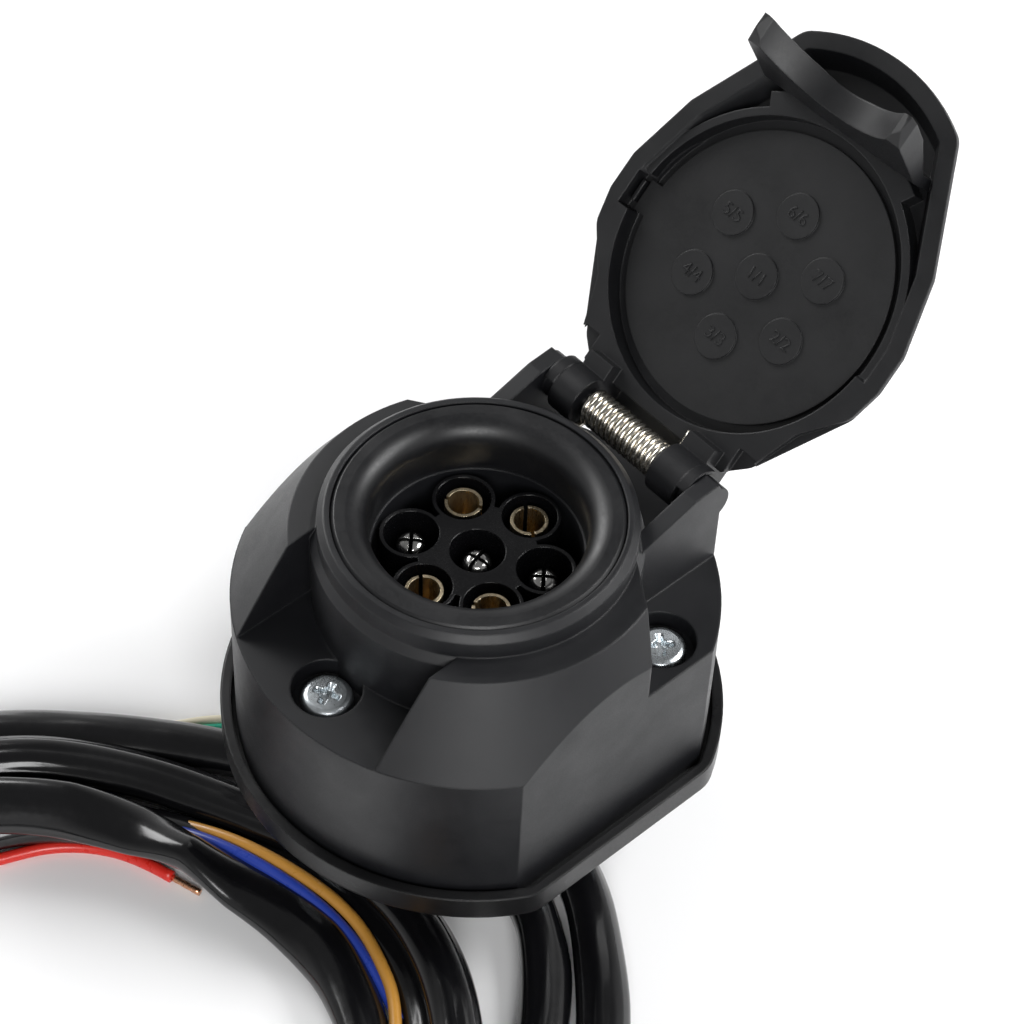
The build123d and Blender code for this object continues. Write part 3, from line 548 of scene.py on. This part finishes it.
def sleeve_section(line, run, count):
    """Reach of each point of the section, for the sleeve is soft and lies unevenly on its filling.

    Waves of unlike lengths along its run vary its width, twist, ridges and wrinkles.
    """
    directions = turned_directions(line)
    looks = np.array(SLEEVE_LOOKS)[::-1]
    wide, thin, twist, ridge_depth = (np.interp(directions, looks[:, 0], looks[:, k]) for k in range(1, 5))
    wide += 0.03 * np.sin(run / 0.011 + 0.7)
    twist = np.radians(twist) + 0.12 * np.sin(run / 0.0093 + 2.0)
    turns = np.arange(count) * tau / count
    drift = 0.5 * np.sin(run / 0.045 + 0.4) + 0.12 * np.sin(run / 0.013)
    angle = turns[None, :] - twist[:, None]
    shape = 1 / np.sqrt((np.cos(angle) / wide[:, None]) ** 2 + (np.sin(angle) / thin[:, None]) ** 2)
    ridge = np.abs(np.cos(3.5 * (turns[None, :] - drift[:, None]))) ** 0.6
    sway = 2 * np.sin(turns[None, :] * 2 + run[:, None] / 0.02)
    wrinkle = 0.012 * np.sin(run[:, None] / 0.0035 + sway)
    return turns, shape * (1 + 0.05 * ridge_depth[:, None] * (ridge - 0.8) + wrinkle)


def sleeve(name, controls, around=56, step=0.001):
    """The harness's sleeve: a soft tube with an open end."""
    line, run = even_points(spline_points(controls), step)
    sides, ups = level_frames(line)
    turns, shape = sleeve_section(line, run, around)
    across = np.cos(turns)[None, :, None] * sides[:, None, :]
    across = across + np.sin(turns)[None, :, None] * ups[:, None, :]
    rings = line[:, None, :] + SLEEVE_R * shape[:, :, None] * across
    # where it lies down, its underside stays where a round sleeve's would be
    lying = (line[:, 2] < SLEEVE_DOWN_Z) | (run > SLEEVE_DOWN_RUN)
    settle = line[:, 2] - SLEEVE_R - rings[:, :, 2].min(axis=1)
    rings[:, :, 2] += np.where(lying, settle, 0)[:, None]
    # the end's lip, and the inside of the wall
    centre = rings[-1].mean(axis=0)
    lip = centre + (rings[-1] - centre) * (1 - SLEEVE_WALL / SLEEVE_R)
    inside = lip + line[-SLEEVE_LIP_POINTS] - line[-1]
    points = np.concatenate([rings.reshape(-1, 3), lip, inside])
    return mesh_object(name, points, ring_faces(len(rings) + 2, around)), line


sleeve_controls = list(SLEEVE_START) + [(x, y, SLEEVE_Z) for x, y in LEAD_PLAN]
sleeve_controls += coil_points(COIL_PLACES, SLEEVE_Z)
harness_sleeve, sleeve_line = sleeve("harness_sleeve", sleeve_controls)
finish_piece(harness_sleeve, "socket", "sleeve_pvc", "harness_lead", "harness_coil")


WIRES_START = (SLEEVE_END_TURN, 54.4, 3.0)
END_SIDE = np.array((cos(radians(SLEEVE_END_TURN)), sin(radians(SLEEVE_END_TURN)), 0))
UPWARD = np.array((0, 0, 1))
# bare wires run on from the sleeve's end under its turns: their direction in the pack, then the
# places that they pass, as in the coil's table
WIRE_WAYS = {
    "red": (
        None,
        (WIRES_START, (250, 52.0, 0), (236, 49.0, 0), (222, 46.4, 0), (208, 45.0, 0), (194, 44.8, 0),
         (177, 44.8, 0), (162, 42.4, 0), (150, 42.6, 0), (138, 41.6, 0), (127, 39.8, 0), (118, 38.0, 0)),
    ),
    "brown": (
        0,
        (WIRES_START, (248, 55.0, 0), (228, 56.2, 0), (208, 57.6, 0), (190, 58.4, 0), (171, 57.6, 0),
         (157, 53.6, 0), (140, 49.8, 0), (127, 47.1, 2.4), (115, 46.0, 5.4), (104, 46.4, 6.7),
         (91, 48.0, 7.1), (80, 50.7, 6.4), (70, 52.5, 5.6), (54, 54.5, 5.0), (38, 53.1, 5.0)),
    ),
    "blue": (
        60,
        (WIRES_START, (248, 57.0, 0), (228, 58.4, 0), (208, 60.0, 0), (190, 60.8, 0), (171, 59.6, 0),
         (157, 56.0, 0), (141, 52.0, 0.2), (127, 45.2, 3.4), (115, 44.0, 6.0), (104, 44.2, 6.8),
         (91, 45.8, 6.6), (80, 48.4, 5.6), (68, 51.0, 4.4), (54, 54.0, 3.4)),
    ),
    "black": (
        120,
        (WIRES_START, (247, 53.4, 0), (228, 53.9, 0), (208, 55.2, 0), (190, 55.8, 0), (172, 55.2, 0),
         (158, 51.6, 0), (148, 51.0, 0)),
    ),
    "green": (
        180,
        (WIRES_START, (250, 57.6, 0), (234, 60.6, 0), (217, 61.2, 0), (202, 62.6, 0), (186, 65.6, 0),
         (168, 66.6, 0), (157, 62.6, 0), (146, 61.0, 0), (137, 63.3, 0), (130, 66.6, 0), (122, 71.4, 0),
         (111, 76.2, 0)),
    ),
    "white": (
        240,
        (WIRES_START, (250, 59.4, 0.6), (233, 60.6, 2.2), (217, 63.4, 2.0), (202, 65.0, 0), (186, 68.0, 0),
         (168, 69.0, 0), (157, 65.0, 0), (146, 63.4, 0), (136, 65.8, 0), (129, 69.3, 0), (121, 73.9, 0),
         (108, 79.0, 0)),
    ),
    "yellow": (
        300,
        (WIRES_START, (248, 50.4, 0), (232, 51.4, 0.4), (212, 53.2, 0), (190, 53.7, 0), (174, 53.0, 0),
         (164, 51.6, 0)),
    ),
}
TIP_LENGTH = 0.006
TIP_R = 0.0006
TIP_STEPS = 6

for wire_color, (pack_turn, places) in WIRE_WAYS.items():
    start = sleeve_line[-SLEEVE_LIP_POINTS].copy()
    if pack_turn is not None:
        start += WIRE_PACK_R * (cos(radians(pack_turn)) * END_SIDE + sin(radians(pack_turn)) * UPWARD)
    controls = [tuple(start)]
    for turn, distance, rise in places:
        x = COIL_CENTRE[0] + distance * MM * cos(radians(turn))
        y = COIL_CENTRE[1] + distance * MM * sin(radians(turn))
        controls.append((x, y, WIRE_Z + rise * MM))
    line, run = even_points(spline_points(controls), 0.001)
    wire = tube(f"wire_{wire_color}", line, [WIRE_R] * len(line))
    finish_piece(wire, "socket", f"wire_{wire_color}")
    ahead = (line[-1] - line[-2]) / np.linalg.norm(line[-1] - line[-2])
    tip_line = [line[-1] + ahead * TIP_LENGTH * k / TIP_STEPS for k in range(TIP_STEPS + 1)]
    tip_radii = [TIP_R * (1 + 0.08 * sin(2.6 * k)) for k in range(TIP_STEPS + 1)]
    tip = tube(f"wire_tip_{wire_color}", np.array(tip_line), tip_radii, around=10)
    finish_piece(tip, "socket", "brass")
    tip.data.materials[0] = MATERIALS["copper"]

# ---------------------------------------------------------------- lid's frame
HINGE_Y = 0.0337
HINGE_Z = 0.0470
SQUARE_HALF = sqrt(0.5)
LID_UP = Vector((0, SQUARE_HALF, SQUARE_HALF))  # along the open lid, away from the hinge
LID_FACE = Vector((0, -SQUARE_HALF, SQUARE_HALF))  # the way that the disc faces
HINGE = Vector((0, HINGE_Y, HINGE_Z))


def on_lid(across, out, depth):
    """A place on the open lid, in mm: across, out from the hinge, and down from the hinge's plane."""
    return HINGE + MM * (across * Vector((1, 0, 0)) + out * LID_UP - depth * LID_FACE)


# ---------------------------------------------------------------- spring
SPRING_R = 0.0028
SPRING_WIRE_R = 0.0006
SPRING_X = (-0.0090, 0.0082)
SPRING_TURNS = 14
SPRING_STEPS = 36  # points on each turn
SPRING_LEG = 0.00672  # length of the leg that rests against the collar
LEG_STEPS = 9
spring_line, spring_ups = [], []
for k in range(-LEG_STEPS, SPRING_TURNS * SPRING_STEPS + 1):
    turn = tau * k / SPRING_STEPS - pi / 2
    share = max(0, k) / (SPRING_TURNS * SPRING_STEPS)
    # the end turns lie closer together
    x = SPRING_X[0] + (SPRING_X[1] - SPRING_X[0]) * (share - 0.018 * sin(tau * share))
    outward = (0.0, cos(turn), sin(turn))
    if k < 0:
        outward = (0.0, 0.0, -1.0)
        spring_line.append((x, HINGE_Y + SPRING_LEG * k / LEG_STEPS, HINGE_Z - SPRING_R))
    else:
        spring_line.append((x, HINGE_Y + SPRING_R * outward[1], HINGE_Z + SPRING_R * outward[2]))
    spring_ups.append(outward)
lid_spring = tube(
    "lid_spring_wire",
    np.array(spring_line),
    [SPRING_WIRE_R] * len(spring_line),
    around=16,
    ups=np.array(spring_ups),
)
finish_piece(lid_spring, "socket", "spring_steel", "lid_spring")
# the leg on the lid: across, out from the hinge and down, in mm
leg_places = ((8.2, -0.2, 2.4), (8.3, 1.5, 2.45), (8.3, 3.5, 2.45), (8.3, 5.5, 2.4), (8.2, 6.9, 2.4))
leg_line = np.array([on_lid(*place) for place in leg_places])
spring_leg = tube("lid_spring_leg", leg_line, [SPRING_WIRE_R] * len(leg_line), around=12)
finish_piece(spring_leg, "lid", "spring_steel")

# ---------------------------------------------------------------- fixing screws
STUD_R_C = 0.03233
STUD_ANGLES = (30, 150, 270)
HEAD_R = 0.00435
HEAD_SEAT_Z = 0.0292
HEAD_TOP_Z = 0.0317
HEAD_EDGE_R = 0.0011
SHANK_R = 0.00176
STUD_END_Z = -0.0108
THREAD_TOP_Z = 0.0
THREAD_R = 0.0020
THREAD_DEPTH = 0.0003
THREAD_PITCH = 0.0007
RECESS_DEPTH = 0.0013
RECESS_HALF_WIDTH = 0.00062
RECESS_TAPER = 0.00008 / 0.0022  # narrowing of each half wing, over its length
RECESS_REACH = 0.0024
RECESS_RAMP = 0.0009  # length of the slope at a wing's end
RECESS_WALL = 0.00018
HEART_R = 0.00125
HEART_WALL = 0.0005
HEAD_DOME = 0.00018
HEAD_RINGS = 48
EDGE_RINGS = 6
THREAD_RINGS = 6  # on each turn of the thread
RECESS_TURN = 25  # degrees between the recess and the stud's own direction


def clamped(value):
    """The value, kept between 0 and 1."""
    return min(1.0, max(0.0, value))


def recess_depth(x, y):
    """Depth of the cross recess at a place on the head."""
    depth = 0.0
    for along, aside in ((abs(x), abs(y)), (abs(y), abs(x))):
        half_width = RECESS_HALF_WIDTH - RECESS_TAPER * along
        wall = clamped((half_width - aside) / RECESS_WALL)
        end = clamped((RECESS_REACH - along) / RECESS_RAMP)
        depth = max(depth, wall * end)
    heart = clamped((HEART_R - sqrt(x * x + y * y)) / HEART_WALL)
    return RECESS_DEPTH * max(depth, heart)


def screw_points(centre, spin, around=72):
    """Rings of points from the middle of a screw's head to the end of its thread."""
    rings = []
    for k in range(1, HEAD_RINGS + 1):
        radius = (HEAD_R - HEAD_EDGE_R) * k / HEAD_RINGS
        dome = HEAD_DOME * (radius / HEAD_R) ** 2
        rings.append([(radius, HEAD_TOP_Z - dome, True)] * around)
    for k in range(1, EDGE_RINGS + 1):
        slope = pi / 2 * k / EDGE_RINGS
        radius = HEAD_R - HEAD_EDGE_R * (1 - sin(slope))
        height = HEAD_TOP_Z - HEAD_DOME - HEAD_EDGE_R * (1 - cos(slope))
        rings.append([(radius, height, False)] * around)
    for radius, height in ((HEAD_R, HEAD_SEAT_Z), (SHANK_R, HEAD_SEAT_Z), (SHANK_R, THREAD_TOP_Z)):
        rings.append([(radius, height, False)] * around)
    count = round((THREAD_TOP_Z - STUD_END_Z) / THREAD_PITCH * THREAD_RINGS)
    for k in range(count + 1):
        height = THREAD_TOP_Z + (STUD_END_Z - THREAD_TOP_Z) * k / count
        ring = []
        for step in range(around):
            phase = (height / THREAD_PITCH + step / around) % 1
            ring.append((THREAD_R - THREAD_DEPTH * abs(2 * phase - 1), height, False))
        rings.append(ring)
    points = []
    for ring in rings:
        for step, (radius, height, flat_top) in enumerate(ring):
            turn = tau * step / around
            x, y = radius * cos(turn), radius * sin(turn)
            drop = recess_depth(x, y) if flat_top else 0.0
            x = centre[0] + radius * cos(turn + spin)
            y = centre[1] + radius * sin(turn + spin)
            points.append((x, y, height - drop))
    return points, len(rings), around


all_points, all_faces = [], []
for angle in STUD_ANGLES:
    centre = (STUD_R_C * cos(radians(angle)), STUD_R_C * sin(radians(angle)))
    points, ring_count, around = screw_points(centre, radians(angle + RECESS_TURN))
    base = len(all_points)
    all_points += points
    # rings run downwards, so the faces are turned over
    all_faces += [tuple(base + k for k in reversed(face)) for face in ring_faces(ring_count, around)]
    all_faces.append(tuple(base + k for k in range(around)))
    all_faces.append(tuple(base + k for k in reversed(range((ring_count - 1) * around, ring_count * around))))
screws = mesh_object("fixing_screws_detailed", all_points, all_faces)
finish_piece(screws, "socket", "zinc", "fixing_screws")

# ---------------------------------------------------------------- marks on the lid's pads
DISC_OUT = 33.7
PAD_STEP = 12.2
PAD_DEPTH = 5.5
MARK_SIZE = 0.0032
MARK_HEIGHT = 0.00012


def pad_mark(text, across, out):
    """A raised mark on one of the disc's pads."""
    font = bpy.data.curves.new("mark", "FONT")
    font.body = text
    font.size = MARK_SIZE
    font.extrude = MARK_HEIGHT
    font.align_x = "CENTER"
    font.align_y = "CENTER"
    holder = bpy.data.objects.new("mark", font)
    mesh = bpy.data.meshes.new_from_object(holder)
    mesh.transform(turned(Vector((1, 0, 0)), LID_UP, LID_FACE, on_lid(across, out, PAD_DEPTH)))
    bpy.data.objects.remove(holder)
    return mesh


marks = bmesh.new()
places = [(0.0, DISC_OUT)]
for k in range(6):
    turn = radians(30 + 60 * k)
    places.append((PAD_STEP * cos(turn), DISC_OUT - PAD_STEP * sin(turn)))
for number, (across, out) in enumerate(places, start=1):
    marks.from_mesh(pad_mark(f"{number}/{number}", across, out))
marks_mesh = bpy.data.meshes.new("disc_marks")
marks.to_mesh(marks_mesh)
marks.free()
disc_marks = bpy.data.objects.new("disc_marks", marks_mesh)
bpy.context.scene.collection.objects.link(disc_marks)
finish_piece(disc_marks, "lid", "disc_rubber")

# ---------------------------------------------------------------- floor
FLOOR_HALF = 4.0
corners = [(x * FLOOR_HALF, y * FLOOR_HALF, FLOOR_Z) for x, y in ((-1, -1), (1, -1), (1, 1), (-1, 1))]
floor = mesh_object("floor", corners, [(0, 1, 2, 3)])
pale = bpy.data.materials.new("pale_floor")
pale.use_nodes = True
pale.node_tree.nodes["Principled BSDF"].inputs["Base Color"].default_value = (0.96, 0.96, 0.965, 1)
pale.node_tree.nodes["Principled BSDF"].inputs["Roughness"].default_value = 0.7
floor.data.materials.append(pale)
